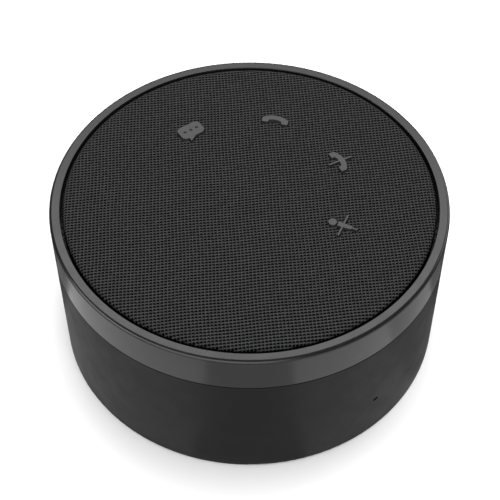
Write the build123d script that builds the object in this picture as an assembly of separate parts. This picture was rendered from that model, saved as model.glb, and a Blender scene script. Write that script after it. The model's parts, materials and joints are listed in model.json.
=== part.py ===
from build123d import *
import math
import os

# Round wireless desk speaker, modelled in millimetres.
# Origin: centre of the foot's resting face. +Z points up out of the fabric top.

# ---- driving dimensions -------------------------------------------------------------------
BODY_RADIUS = 60.0
BODY_HEIGHT = 55.0
WALL = 2.2
DIAL_EDGE = 1.0
LIP_EDGE = 0.3
BASE_EDGE = 0.5
SEAM_EDGE = 0.1
DIAL_HEIGHT = 12.4
SEAM = 0.35

# ---- heights ------------------------------------------------------------------------------
DIAL_BOTTOM = BODY_HEIGHT - DIAL_HEIGHT
HOUSING_TOP = DIAL_BOTTOM - SEAM
HOUSING_BOTTOM = 0.3
COVER_BOTTOM = 0.9
COVER_TOP = 3.3
PAD_TOP = 4.5
BASE_HEAD_TOP = PAD_TOP - 1.4
BASE_HEAD_BOTTOM = 1.8
BOARD_BOTTOM = 5.3
BOARD_THICKNESS = 1.6
BOARD_TOP = BOARD_BOTTOM + BOARD_THICKNESS
PLATE_BOTTOM = 42.0
PLATE_TOP = 44.0
RIM_PLATE_TOP = 43.0
FLANGE_BOTTOM = 48.6
FLANGE_TOP = 50.4
GRILLE_BOTTOM = 52.4
GRILLE_TOP = 54.4
FABRIC_THICKNESS = 0.9
FABRIC_TOP = GRILLE_TOP + FABRIC_THICKNESS
GLYPH_TOP = FABRIC_TOP + 0.8

# ---- radii --------------------------------------------------------------------------------
HOUSING_BORE = BODY_RADIUS - WALL
SKIRT_OUTER = HOUSING_BORE - 0.2
SKIRT_INNER = SKIRT_OUTER - 2.0
DIAL_LIP_BORE = 56.8
DIAL_LIP = 2.8
DIAL_WALL_BORE = 58.4
FABRIC_RADIUS = 56.1
FABRIC_EDGE = 1.5
CHASSIS_INNER_WALL = 52.6
CHASSIS_OUTER_WALL = 54.6
CHASSIS_FLANGE_RADIUS = 56.4
SPEAKER_OPENING = 23.5
GRILLE_RADIUS = FABRIC_RADIUS - FABRIC_THICKNESS
COVER_RADIUS = HOUSING_BORE - 0.4
BOSS_CIRCLE = 49.0
BOSS_RADIUS = 3.0
PILOT_RADIUS = 1.1
SHANK_RADIUS = 1.05
HEAD_RADIUS = 2.2
SCREW_CLEARANCE = 1.5
QUARTERS = (0, 90, 180, 270)
POST_CIRCLE = 45.0
POST_RADIUS = 2.6
POST_ANGLES = (20, 110, 200, 290)
DIAGONALS = (45, 135, 225, 315)
STANDOFF_CIRCLE = 36.0
STANDOFF_ANGLES = DIAGONALS
FOOT_INNER = 46.0
FOOT_OUTER = 53.0
FOOT_TOP = 1.7
DRIVER_SCREW_CIRCLE = 25.6
DRIVER_SCREW_ANGLES = DIAGONALS
DRIVER_SCREW_HOLE = 1.25

# ---- dial drive ---------------------------------------------------------------------------
MODULE = 0.8
RING_TEETH = 140
PINION_TEETH = 14
GEAR_BOTTOM = RIM_PLATE_TOP + 0.8
GEAR_TOP = FLANGE_BOTTOM - 0.4
PINION_ANGLE = 135.0
PINION_CIRCLE = MODULE * (RING_TEETH - PINION_TEETH) / 2
PINION_BOTTOM = PLATE_TOP + 0.3
PINION_TOP = GEAR_TOP - 0.3
SHAFT_RADIUS = 1.5
ENCODER_SIDE = 9.0
ENCODER_HEIGHT = 4.5
BUSH_RADIUS = 3.4

# ---- keys ---------------------------------------------------------------------------------
KEY_REFERENCE_CIRCLE = 31.3
KEY_FLANGE_RADIUS = 6.2
KEY_FLANGE_BOTTOM = 51.3
KEY_FLANGE_TOP = GRILLE_BOTTOM - 0.3
KEY_PAD_RADIUS = 5.0
KEY_PAD_TOP = GRILLE_TOP - 0.3
KEY_HOLE_RADIUS = 5.4
KEY_STEM_RADIUS = 1.5
PLUNGER_TOP = 50.1
PLUNGER_BOTTOM = 49.0
PLUNGER_RADIUS = 1.15
GLYPH_CLEARANCE = 0.3
SWITCH_SIDE = 4.5
SWITCH_TOP = 49.6
BUTTON_BOARD_BOTTOM = 47.0
BUTTON_BOARD_TOP = 48.0

# ---- side features ------------------------------------------------------------------------
MIC_ANGLES = (-50.9, 69.1, 189.1)
MIC_HEIGHT = 16.4
MIC_SLOT_LENGTH = 2.0
MIC_SLOT_WIDTH = 1.2
USB_ANGLE = 50.9
USB_WIDTH = 8.94
USB_THICKNESS = 3.26
USB_HEIGHT = BOARD_TOP + USB_THICKNESS / 2
POWER_ANGLE = 28.9
POWER_HEIGHT = 9.9
POWER_HOLE_RADIUS = 3.4
POWER_CAP_RADIUS = 3.0
PLUNGER_NEAR = 51.5
PLUNGER_FAR = 56.0
SIDE_PLUNGER_RADIUS = 1.2


def tube(inner, outer, bottom, top):
    """Ring between two radii; an inner radius of 0 gives a disc."""
    height = top - bottom
    body = Pos(0, 0, bottom) * extrude(Circle(outer), height)
    if inner > 0:
        body -= Pos(0, 0, bottom) * extrude(Circle(inner), height)
    return body


def block(x_range, y_range, z_range):
    """Box given by its low and high sides along each axis."""
    size = [high - low for low, high in (x_range, y_range, z_range)]
    middle = [(high + low) / 2 for low, high in (x_range, y_range, z_range)]
    return Pos(*middle) * Box(*size)


def rod(x, y, radius, bottom, top):
    """Upright round rod."""
    return Pos(x, y, bottom) * extrude(Circle(radius), top - bottom)


def spin(shape, angle):
    """Turn a shape about the speaker's axis."""
    return Rot(Z=angle) * shape


def side_rod(radius, near, far, height):
    """Round rod lying along +X, between two distances from the axis."""
    return Pos(near, 0, height) * (Rot(Y=90) * extrude(Circle(radius), far - near))


def round_edge(shape, radius_of_edge, height, fillet_radius):
    """Fillet the circular edge of a given radius and height."""
    near = 0.01
    edges = [
        edge
        for edge in shape.edges().filter_by(GeomType.CIRCLE)
        if abs(edge.radius - radius_of_edge) < near and abs(edge.center().Z - height) < near
    ]
    return fillet(edges, fillet_radius)


def gear_outline(teeth, pitch_radius, tip_sign):
    """Straight-flanked gear outline; tip_sign is +1 for teeth outward, -1 for inward."""
    half_at_pitch = 0.525
    flank_slope = math.tan(math.radians(20))
    tip_radius = pitch_radius + tip_sign * MODULE
    root_radius = pitch_radius - tip_sign * 1.25 * MODULE
    half_tip = half_at_pitch - MODULE * flank_slope
    half_root = half_at_pitch + 1.25 * MODULE * flank_slope
    points = []
    for tooth in range(teeth):
        centre = 2 * math.pi * tooth / teeth
        corners = (
            (root_radius, -half_root),
            (tip_radius, -half_tip),
            (tip_radius, half_tip),
            (root_radius, half_root),
        )
        for radius, offset in corners:
            angle = centre + offset / radius
            points.append((radius * math.cos(angle), radius * math.sin(angle)))
    return make_face(Polyline(*points, close=True))


# ---- icons, drawn flat: +X is clockwise round the dial, +Y points outward -------------------
ICON_STROKE = 0.5
STROKE_ROUNDING = 0.24
CHAT_MIDDLE = 1.5


def handset(grow):
    """Telephone handset lying across the key, earpieces down."""
    outer_radius = 6.4
    inner_radius = 4.65
    half_span = 4.15
    ear_width = 2.1
    ear_height = 2.1
    arc_centre = Pos(0, -3.2)
    window_middle = 2.0
    window_height = 2.6
    band = arc_centre * (Circle(outer_radius + grow) - Circle(inner_radius - grow))
    band &= Pos(0, window_middle) * Rectangle(2 * (half_span + grow), window_height)
    rounding = 0.45 + grow
    ears = Sketch()
    for side in (-1, 1):
        ear = RectangleRounded(ear_width + 2 * grow, ear_height + 2 * grow, rounding)
        ears += Pos(side * (half_span - ear_width / 2), ear_height / 2) * ear
    ears &= arc_centre * Circle(outer_radius + grow)
    return band + ears


def answer_icon(grow):
    """Handset alone."""
    return handset(grow)


def hang_up_icon(grow):
    """Handset with a bar across it."""
    bar_length = 7.8
    handset_drop = 1.9
    bar = RectangleRounded(ICON_STROKE + 2 * grow, bar_length + 2 * grow, STROKE_ROUNDING)
    return Pos(0, -handset_drop) * handset(grow) + bar


def mute_icon(grow):
    """Hand microphone, its round head towards the middle, with a bar across it."""
    head_middle = -4.64
    head_radius = 1.25
    tail_middle = 2.0
    tail_length = 2.2
    bar_middle = -1.35
    bar_length = 8.5
    head = Pos(0, head_middle) * Circle(head_radius + grow)
    half_top = 0.85 + grow
    half_tail = 0.6 + grow
    low = -2.95 - grow
    high = 1.4 + grow
    corners = ((-half_top, low), (half_top, low), (half_tail, high), (-half_tail, high))
    body = make_face(Polyline(*corners, close=True))
    tail = RectangleRounded(ICON_STROKE + 2 * grow, tail_length + 2 * grow, STROKE_ROUNDING)
    bar = RectangleRounded(bar_length + 2 * grow, ICON_STROKE + 2 * grow, STROKE_ROUNDING)
    return head + body + Pos(0, tail_middle) * tail + Pos(0, bar_middle) * bar


def chat_icon(grow):
    """Plain speech bubble with a tail."""
    width = 8.0 + 2 * grow
    height = 5.2 + 2 * grow
    bubble = Pos(0, CHAT_MIDDLE) * RectangleRounded(width, height, 1.6 + grow)
    tail_top = -0.6
    tail_left = -2.2 - grow
    tail_right = 1.2 + grow
    tip = -2.55 - grow
    corners = ((tail_left, tail_top), (tail_left, tip), (tail_right, tail_top))
    return bubble + make_face(Polyline(*corners, close=True))


# name: (angle round the top, key centre's distance from the axis, icon)
KEYS = {
    "chat_key": (124.0, 32.1, chat_icon),
    "answer_key": (75.6, 32.9, answer_icon),
    "hang_up_key": (27.0, 31.3, hang_up_icon),
    "mute_key": (-23.3, 29.9, mute_icon),
}


def on_top(sketch, angle):
    """Put a flat icon at its place on the top, its +Y outward."""
    return Rot(Z=angle - 90) * (Pos(0, KEY_REFERENCE_CIRCLE) * sketch)


def icon_column(name, grow, bottom, top):
    """Icon pulled up between two heights."""
    angle, _, icon = KEYS[name]
    return Pos(0, 0, bottom) * extrude(on_top(icon(grow), angle), top - bottom)


def key_place(name):
    """X and Y of a key's centre."""
    angle, distance, _ = KEYS[name]
    return distance * math.cos(math.radians(angle)), distance * math.sin(math.radians(angle))


def key(name):
    """Key: retaining flange, pad, raised icon and stem."""
    x, y = key_place(name)
    body = rod(x, y, KEY_FLANGE_RADIUS, KEY_FLANGE_BOTTOM, KEY_FLANGE_TOP)
    body += rod(x, y, KEY_PAD_RADIUS, KEY_FLANGE_TOP, KEY_PAD_TOP)
    body += rod(x, y, KEY_STEM_RADIUS, PLUNGER_TOP, KEY_FLANGE_BOTTOM)
    body += icon_column(name, 0.0, KEY_PAD_TOP, GLYPH_TOP)
    if name == "chat_key":
        body -= chat_dots()
    return body


def chat_dots():
    """Three shallow round dots sunk in the speech bubble."""
    dots = Part()
    spacing = 2.1
    depth = 0.4
    angle = KEYS["chat_key"][0]
    for offset in (-spacing, 0.0, spacing):
        dot = Pos(offset, CHAT_MIDDLE) * Circle(ICON_STROKE)
        dots += Pos(0, 0, GLYPH_TOP - depth) * extrude(on_top(dot, angle), 2 * depth)
    return dots


def plunger(name):
    """Switch plunger that the key rests on."""
    x, y = key_place(name)
    return rod(x, y, PLUNGER_RADIUS, PLUNGER_BOTTOM, PLUNGER_TOP)


def tact_switches():
    """Four switch housings with a bore for the plunger."""
    bore_bottom = 48.5
    group = Part()
    for name, (angle, distance, _) in KEYS.items():
        half = SWITCH_SIDE / 2
        sides = (distance - half, distance + half)
        body = block(sides, (-half, half), (BUTTON_BOARD_TOP, SWITCH_TOP))
        body -= rod(distance, 0, PLUNGER_RADIUS + 0.15, bore_bottom, SWITCH_TOP)
        group += spin(body, angle)
    return group


def button_board():
    """C-shaped board under the keys."""
    start = -42
    stop = 144
    inner = 28.5
    outer = 41.0
    ring = tube(inner, outer, BUTTON_BOARD_BOTTOM, BUTTON_BOARD_TOP)
    reach = BODY_RADIUS
    points = [(0, 0)]
    steps = 6
    for step in range(steps + 1):
        angle = math.radians(start + (stop - start) * step / steps)
        points.append((reach * math.cos(angle), reach * math.sin(angle)))
    sector = extrude(make_face(Polyline(*points, close=True)), BODY_HEIGHT)
    return ring & sector


BOARD_POST_CIRCLE = 36.5
BOARD_POST_ANGLES = (2.0, 51.3, 104.0)
FLEX_DISTANCE = 38.5
FLEX_ANGLE = 90
LEAD_DISTANCE = 35.0
LEAD_ANGLE = 270


def upper_chassis():
    """Baffle plate with skirt, retaining wall and flange."""
    skirt_height = 3.0
    post_radius = 2.0
    pinion_room = 7.0
    bush_hole = BUSH_RADIUS + 0.1
    body = tube(SPEAKER_OPENING, CHASSIS_OUTER_WALL, PLATE_BOTTOM, PLATE_TOP)
    body += tube(CHASSIS_OUTER_WALL - 1, SKIRT_OUTER, PLATE_BOTTOM, RIM_PLATE_TOP)
    body += tube(SKIRT_INNER, SKIRT_OUTER, PLATE_BOTTOM - skirt_height, PLATE_BOTTOM)
    body += tube(CHASSIS_INNER_WALL, CHASSIS_OUTER_WALL, PLATE_TOP, FLANGE_BOTTOM)
    body += tube(CHASSIS_INNER_WALL, CHASSIS_FLANGE_RADIUS, FLANGE_BOTTOM, FLANGE_TOP)
    for angle in BOARD_POST_ANGLES:
        post = rod(BOARD_POST_CIRCLE, 0, post_radius, PLATE_TOP, BUTTON_BOARD_BOTTOM)
        body += spin(post, angle)
    window = rod(PINION_CIRCLE, 0, pinion_room, PLATE_TOP, FLANGE_BOTTOM - 0.3)
    body -= spin(window, PINION_ANGLE)
    body -= spin(rod(PINION_CIRCLE, 0, bush_hole, PLATE_BOTTOM, PLATE_TOP), PINION_ANGLE)
    for angle in QUARTERS:
        body -= spin(rod(BOSS_CIRCLE, 0, SCREW_CLEARANCE, PLATE_BOTTOM, PLATE_TOP), angle)
    for angle in POST_ANGLES:
        body -= spin(rod(POST_CIRCLE, 0, SCREW_CLEARANCE, PLATE_BOTTOM, PLATE_TOP), angle)
    for angle in DRIVER_SCREW_ANGLES:
        hole = rod(DRIVER_SCREW_CIRCLE, 0, PILOT_RADIUS, PLATE_BOTTOM, PLATE_TOP)
        body -= spin(hole, angle)
    plate = (PLATE_BOTTOM, PLATE_TOP)
    slots = ((FLEX_DISTANCE, FLEX_ANGLE, 4.5), (LEAD_DISTANCE, LEAD_ANGLE, 3.0))
    slot_half = 0.6
    for distance, angle, half_length in slots:
        sides = (distance - slot_half, distance + slot_half)
        body -= spin(block(sides, (-half_length, half_length), plate), angle)
    return body


def screw_group(circle, angles, head_bottom, head_top, tip, head_radius=HEAD_RADIUS):
    """Screws with a cross slot in the head; tip may lie above or below the head."""
    group = Part()
    shank = (min(tip, head_bottom), max(tip, head_bottom))
    if tip > head_top:
        shank = (head_top, tip)
    outside = head_top if tip < head_bottom else head_bottom
    depth = 0.6
    slot_low = outside - depth if outside == head_top else outside
    for angle in angles:
        screw = rod(circle, 0, head_radius, head_bottom, head_top)
        screw += rod(circle, 0, SHANK_RADIUS, *shank)
        long_half = head_radius * 0.6
        thin_half = 0.25
        height = (slot_low, slot_low + depth)
        x_long = (circle - long_half, circle + long_half)
        x_thin = (circle - thin_half, circle + thin_half)
        screw -= block(x_long, (-thin_half, thin_half), height)
        screw -= block(x_thin, (-long_half, long_half), height)
        group += spin(screw, angle)
    return group


def lower_housing():
    """Tubular housing with four screw bosses, microphone holes, socket and key openings."""
    body = tube(HOUSING_BORE, BODY_RADIUS, HOUSING_BOTTOM, HOUSING_TOP)
    body = round_edge(body, BODY_RADIUS, HOUSING_BOTTOM, BASE_EDGE)
    body = round_edge(body, BODY_RADIUS, HOUSING_TOP, SEAM_EDGE)
    rib_top = PLATE_BOTTOM - 3.5
    pilot_depth = 12.0
    for angle in QUARTERS:
        boss = rod(BOSS_CIRCLE, 0, BOSS_RADIUS, PAD_TOP, PLATE_BOTTOM)
        rib = block((BOSS_CIRCLE + 2, HOUSING_BORE + 1), (-0.75, 0.75), (PAD_TOP, rib_top))
        boss += rib
        boss -= rod(BOSS_CIRCLE, 0, PILOT_RADIUS, PAD_TOP, PAD_TOP + pilot_depth)
        boss -= rod(BOSS_CIRCLE, 0, PILOT_RADIUS, PLATE_BOTTOM - pilot_depth, PLATE_BOTTOM)
        body += spin(boss, angle)
    wall = (HOUSING_BORE - 1.5, BODY_RADIUS + 1)
    slot_outline = SlotOverall(MIC_SLOT_LENGTH, MIC_SLOT_WIDTH)
    for angle in MIC_ANGLES:
        slot = Pos(wall[0], 0, MIC_HEIGHT) * (Plane.YZ * slot_outline)
        body -= spin(extrude(slot, wall[1] - wall[0], dir=(1, 0, 0)), angle)
    socket_room = 0.28
    opening_outline = SlotOverall(USB_WIDTH + 2 * socket_room, USB_THICKNESS + 2 * socket_room)
    opening = Pos(wall[0], 0, USB_HEIGHT) * (Plane.YZ * opening_outline)
    body -= spin(extrude(opening, wall[1] - wall[0], dir=(1, 0, 0)), USB_ANGLE)
    body -= spin(side_rod(POWER_HOLE_RADIUS, *wall, POWER_HEIGHT), POWER_ANGLE)
    return body


def base_cover():
    """Bottom plate with a groove for the foot and pads under the screw bosses."""
    body = tube(0, COVER_RADIUS, COVER_BOTTOM, COVER_TOP)
    body -= tube(FOOT_INNER - 0.1, FOOT_OUTER + 0.1, COVER_BOTTOM, FOOT_TOP)
    pad_radius = 4.5
    standoff_radius = 2.2
    for angle in QUARTERS:
        body += spin(rod(BOSS_CIRCLE, 0, pad_radius, COVER_TOP, PAD_TOP), angle)
        body -= spin(rod(BOSS_CIRCLE, 0, HEAD_RADIUS + 0.2, FOOT_TOP, BASE_HEAD_TOP), angle)
        body -= spin(rod(BOSS_CIRCLE, 0, SCREW_CLEARANCE, BASE_HEAD_TOP, PAD_TOP), angle)
    for angle in STANDOFF_ANGLES:
        post = rod(STANDOFF_CIRCLE, 0, standoff_radius, COVER_TOP, BOARD_BOTTOM)
        post -= rod(STANDOFF_CIRCLE, 0, PILOT_RADIUS, COVER_TOP, BOARD_BOTTOM)
        body += spin(post, angle)
    return body


def foot_ring():
    """Rubber ring the speaker stands on."""
    edge = 0.3
    body = tube(FOOT_INNER, FOOT_OUTER, 0, FOOT_TOP)
    body = round_edge(body, FOOT_OUTER, 0, edge)
    return round_edge(body, FOOT_INNER, 0, edge)


def main_board():
    """Round board notched round the housing's screw bosses."""
    radius = 54.0
    rib_room = 2.0
    body = tube(0, radius, BOARD_BOTTOM, BOARD_TOP)
    heights = (BOARD_BOTTOM, BOARD_TOP)
    for angle in QUARTERS:
        body -= spin(rod(BOSS_CIRCLE, 0, BOSS_RADIUS + 0.6, *heights), angle)
        body -= spin(block((BOSS_CIRCLE, radius + 2), (-rib_room, rib_room), heights), angle)
    for angle in STANDOFF_ANGLES:
        body -= spin(rod(STANDOFF_CIRCLE, 0, SCREW_CLEARANCE - 0.2, *heights), angle)
    return body


def board_chips():
    """Larger chips and the shielded radio module on the main board."""
    chips = (
        (-14, -38, 14, 10, 1.8),
        (14, -38, 8, 8, 1.0),
        (-17, 37, 9, 9, 1.2),
        (12, 39, 6, 6, 0.9),
    )
    group = Part()
    for x, y, width, depth, height in chips:
        x_range = (x - width / 2, x + width / 2)
        y_range = (y - depth / 2, y + depth / 2)
        group += block(x_range, y_range, (BOARD_TOP, BOARD_TOP + height))
    return group


# ---- battery ------------------------------------------------------------------------------
CELL_LENGTH = 60.0
CELL_WIDTH = 42.0
CELL_HEIGHT = 7.2
TRAY_BOTTOM = 9.4
TRAY_FLOOR = 10.6
TRAY_RIM = 13.0


def battery_pack():
    """Flat pouch cell with rounded edges."""
    body = Box(CELL_LENGTH, CELL_WIDTH, CELL_HEIGHT)
    body = fillet(body.edges().filter_by(Axis.Z), 2.0)
    return Pos(0, 0, TRAY_FLOOR + CELL_HEIGHT / 2) * body


def battery_tray():
    """Tray on four legs that holds the cell above the main board."""
    wall = 1.2
    half_x = CELL_LENGTH / 2 + 0.4 + wall
    half_y = CELL_WIDTH / 2 + 0.4 + wall
    body = block((-half_x, half_x), (-half_y, half_y), (TRAY_BOTTOM, TRAY_RIM))
    pocket_x = (wall - half_x, half_x - wall)
    pocket_y = (wall - half_y, half_y - wall)
    body -= block(pocket_x, pocket_y, (TRAY_FLOOR, TRAY_RIM))
    leg_x = 27.0
    leg_y = 18.0
    leg_radius = 2.0
    for x in (-leg_x, leg_x):
        for y in (-leg_y, leg_y):
            body += rod(x, y, leg_radius, BOARD_TOP, TRAY_BOTTOM)
    return body


def battery_lead():
    """Flat lead from the cell's end, over the tray's rim and down to the board."""
    half = 3.0
    thickness = 0.4
    start = -CELL_LENGTH / 2
    end = start - 4.4
    bend = TRAY_RIM + 0.4
    body = block((end, start), (-half, half), (bend, bend + thickness))
    return body + block((end, end + thickness), (-half, half), (BOARD_TOP, bend))


# ---- dial ---------------------------------------------------------------------------------
def volume_dial():
    """Turning ring with an inward lip round the fabric."""
    body = tube(DIAL_WALL_BORE, BODY_RADIUS, DIAL_BOTTOM, BODY_HEIGHT)
    body += tube(DIAL_LIP_BORE, BODY_RADIUS, BODY_HEIGHT - DIAL_LIP, BODY_HEIGHT)
    body = round_edge(body, BODY_RADIUS, BODY_HEIGHT, DIAL_EDGE)
    body = round_edge(body, DIAL_LIP_BORE, BODY_HEIGHT, LIP_EDGE)
    return round_edge(body, BODY_RADIUS, DIAL_BOTTOM, SEAM_EDGE)


def dial_gear_ring():
    """Toothed ring fixed inside the dial."""
    height = GEAR_TOP - GEAR_BOTTOM
    blank = tube(0, DIAL_WALL_BORE, GEAR_BOTTOM, GEAR_TOP)
    pitch_radius = MODULE * RING_TEETH / 2
    hole = extrude(gear_outline(RING_TEETH, pitch_radius, -1), height)
    return blank - Pos(0, 0, GEAR_BOTTOM) * hole


def encoder_pinion():
    """Pinion on the encoder's shaft, meshed with the dial's teeth."""
    height = PINION_TOP - PINION_BOTTOM
    body = extrude(gear_outline(PINION_TEETH, MODULE * PINION_TEETH / 2, 1), height)
    body -= extrude(Circle(SHAFT_RADIUS), height)
    return spin(Pos(PINION_CIRCLE, 0, PINION_BOTTOM) * body, PINION_ANGLE)


ENCODER_BOTTOM = PLATE_BOTTOM - ENCODER_HEIGHT
SHAFT_BOTTOM = ENCODER_BOTTOM + 1.5


def encoder_shaft():
    """Shaft that carries the pinion."""
    return spin(rod(PINION_CIRCLE, 0, SHAFT_RADIUS, SHAFT_BOTTOM, PINION_TOP), PINION_ANGLE)


def encoder_body():
    """Rotary encoder under the baffle plate, with its bush."""
    half = ENCODER_SIDE / 2
    sides = (PINION_CIRCLE - half, PINION_CIRCLE + half)
    body = block(sides, (-half, half), (ENCODER_BOTTOM, PLATE_BOTTOM))
    body += rod(PINION_CIRCLE, 0, BUSH_RADIUS, PLATE_BOTTOM, PLATE_TOP - 0.2)
    body -= rod(PINION_CIRCLE, 0, SHAFT_RADIUS + 0.06, SHAFT_BOTTOM - 0.2, PLATE_TOP)
    return spin(body, PINION_ANGLE)


# ---- top ----------------------------------------------------------------------------------
def grille_frame():
    """Stiff plate under the fabric, perforated over the loudspeaker."""
    body = tube(0, GRILLE_RADIUS, GRILLE_BOTTOM, GRILLE_TOP)
    body += tube(GRILLE_RADIUS - 2, GRILLE_RADIUS, FLANGE_TOP, GRILLE_BOTTOM)
    pilot_top = 51.0
    for angle in POST_ANGLES:
        post = rod(POST_CIRCLE, 0, POST_RADIUS, PLATE_TOP, GRILLE_BOTTOM)
        body += spin(post - rod(POST_CIRCLE, 0, PILOT_RADIUS, PLATE_TOP, pilot_top), angle)
    for name in KEYS:
        body -= rod(*key_place(name), KEY_HOLE_RADIUS, GRILLE_BOTTOM, GRILLE_TOP)
    ring_step = 4.6
    hole_radius = 1.5
    rings = 4
    for ring in range(1, rings + 1):
        count = 6 * ring
        for index in range(count):
            hole = rod(ring * ring_step, 0, hole_radius, GRILLE_BOTTOM, GRILLE_TOP)
            body -= spin(hole, 360 * index / count)
    return body - rod(0, 0, hole_radius, GRILLE_BOTTOM, GRILLE_TOP)


def fabric_cover():
    """Knitted cover stretched over the grille frame, cut out round the raised icons."""
    hem = FLANGE_TOP + 0.6
    body = tube(0, FABRIC_RADIUS, hem, FABRIC_TOP)
    body = round_edge(body, FABRIC_RADIUS, FABRIC_TOP, FABRIC_EDGE)
    body -= tube(0, GRILLE_RADIUS, hem, GRILLE_TOP)
    for name in KEYS:
        body -= icon_column(name, GLYPH_CLEARANCE, GRILLE_TOP - 0.1, FABRIC_TOP + 0.1)
    return body


# ---- loudspeaker --------------------------------------------------------------------------
FLANGE_RADIUS = 27.5
BASKET_FLANGE_BOTTOM = PLATE_TOP + 0.6
BASKET_FLANGE_TOP = BASKET_FLANGE_BOTTOM + 1.2
BASKET_BOTTOM = 33.0
MAGNET_BOTTOM = 25.0
MAGNET_TOP = 30.0
MAGNET_RADIUS = 19.0
BASKET_RADIUS = 22.6
CONE_OUTER = 19.2
COIL_INNER = 7.5
COIL_OUTER = 7.9
COIL_BOTTOM = 28.0
COIL_TOP = 38.0
SPIDER_HEIGHT = 36.0


def driver_basket():
    """Pressed basket with four windows and a screw flange."""
    floor_top = BASKET_BOTTOM + 1.2
    step_radius = 18.0
    lip_inner = 21.6
    hub_hole = 9.0
    window_half = 7.0
    window_x = (step_radius - 2, BASKET_RADIUS + 1)
    window_z = (SPIDER_HEIGHT + 0.8, PLATE_TOP - 1)
    window = block(window_x, (-window_half, window_half), window_z)
    body = tube(lip_inner + 0.4, FLANGE_RADIUS, BASKET_FLANGE_BOTTOM, BASKET_FLANGE_TOP)
    body += tube(BASKET_RADIUS - 1, BASKET_RADIUS, BASKET_BOTTOM, BASKET_FLANGE_BOTTOM)
    body += tube(lip_inner, lip_inner + 0.6, BASKET_FLANGE_BOTTOM - 0.6, BASKET_FLANGE_TOP)
    body += tube(hub_hole, BASKET_RADIUS, BASKET_BOTTOM, floor_top)
    body += tube(step_radius, BASKET_RADIUS, floor_top, SPIDER_HEIGHT)
    for angle in QUARTERS:
        body -= spin(window, angle)
    for angle in DRIVER_SCREW_ANGLES:
        heights = (BASKET_FLANGE_BOTTOM, BASKET_FLANGE_TOP)
        body -= spin(rod(DRIVER_SCREW_CIRCLE, 0, DRIVER_SCREW_HOLE, *heights), angle)
    return body


def driver_gasket():
    """Foam gasket between the basket's flange and the baffle plate."""
    body = tube(SPEAKER_OPENING + 0.1, FLANGE_RADIUS, PLATE_TOP, BASKET_FLANGE_BOTTOM)
    for angle in DRIVER_SCREW_ANGLES:
        heights = (PLATE_TOP, BASKET_FLANGE_BOTTOM)
        body -= spin(rod(DRIVER_SCREW_CIRCLE, 0, DRIVER_SCREW_HOLE, *heights), angle)
    return body


def driver_top_plate():
    """Steel ring round the coil's gap."""
    return tube(COIL_OUTER + 0.3, MAGNET_RADIUS - 1, MAGNET_TOP, BASKET_BOTTOM)


def driver_magnet():
    """Ferrite ring magnet."""
    hole_radius = 10.0
    return tube(hole_radius, MAGNET_RADIUS, MAGNET_BOTTOM, MAGNET_TOP)


def driver_yoke():
    """Back plate with its pole piece."""
    plate = 2.8
    pole_top = BASKET_BOTTOM + 0.2
    body = tube(0, MAGNET_RADIUS - 2, MAGNET_BOTTOM - plate, MAGNET_BOTTOM)
    return body + tube(0, COIL_INNER - 0.3, MAGNET_BOTTOM, pole_top)


def voice_coil():
    """Coil former with its winding."""
    return tube(COIL_INNER, COIL_OUTER, COIL_BOTTOM, COIL_TOP)


def driver_spider():
    """Corrugated centring disc."""
    thickness = 0.4
    outer = 21.4
    top = SPIDER_HEIGHT + thickness
    body = tube(COIL_OUTER, outer, SPIDER_HEIGHT, top)
    for radius in (10.5, 13.5, 16.5):
        body += tube(radius - thickness, radius + thickness, top, top + thickness)
    return body


def driver_cone():
    """Paper cone between the coil and the surround."""
    thickness = 0.5
    corners = (
        (COIL_OUTER, COIL_TOP - 0.6),
        (CONE_OUTER, BASKET_FLANGE_TOP - thickness),
        (CONE_OUTER, BASKET_FLANGE_TOP),
        (CONE_OUTER - 1.2, BASKET_FLANGE_TOP),
        (COIL_OUTER, COIL_TOP),
    )
    return revolve(Plane.XZ * make_face(Polyline(*corners, close=True)), Axis.Z)


def driver_surround():
    """Rubber half-roll between the cone and the basket."""
    middle = 20.6
    outer = 1.5
    thickness = 0.4
    roll = Pos(middle, BASKET_FLANGE_TOP) * (Circle(outer) - Circle(outer - thickness))
    roll &= Pos(middle, BASKET_FLANGE_TOP + outer) * Rectangle(3 * outer, 2 * outer)
    inner_lip = (18.2, 19.3)
    outer_lip = (21.9, 23.9)
    for near, far in (inner_lip, outer_lip):
        lip = Rectangle(far - near, thickness)
        roll += Pos((near + far) / 2, BASKET_FLANGE_TOP + thickness / 2) * lip
    return revolve(Plane.XZ * roll, Axis.Z)


def driver_dust_cap():
    """Domed cap over the coil."""
    rise = 2.2
    radius = (COIL_OUTER**2 + rise**2) / (2 * rise)
    centre = COIL_TOP + rise - radius
    dome = Pos(0, 0, centre) * (Sphere(radius) - Sphere(radius - 0.4))
    return dome & tube(0, COIL_OUTER, COIL_TOP, COIL_TOP + rise + 1)


def speaker_lead():
    """Flat lead from the basket's flange through the baffle plate to the board."""
    half = 2.5
    thickness = 0.4
    start = FLANGE_RADIUS + 0.2
    outside = LEAD_DISTANCE + thickness / 2
    inside = LEAD_DISTANCE - thickness / 2
    body = block((start, outside), (-half, half), (PLATE_TOP, PLATE_TOP + thickness))
    body += block((inside, outside), (-half, half), (BOARD_TOP, PLATE_TOP))
    return spin(body, LEAD_ANGLE)


def button_flex():
    """Flat flex from the button board down to the main board."""
    half = 0.15
    half_width = 4.0
    distances = (FLEX_DISTANCE - half, FLEX_DISTANCE + half)
    sides = (-half_width, half_width)
    body = block(distances, sides, (BOARD_TOP, BUTTON_BOARD_BOTTOM))
    return spin(body, FLEX_ANGLE)


CHAMBER_INNER = 30.0
CHAMBER_OUTER = 32.0
CHAMBER_BOTTOM = 19.0
CHAMBER_TOP = PLATE_BOTTOM - 0.6


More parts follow.
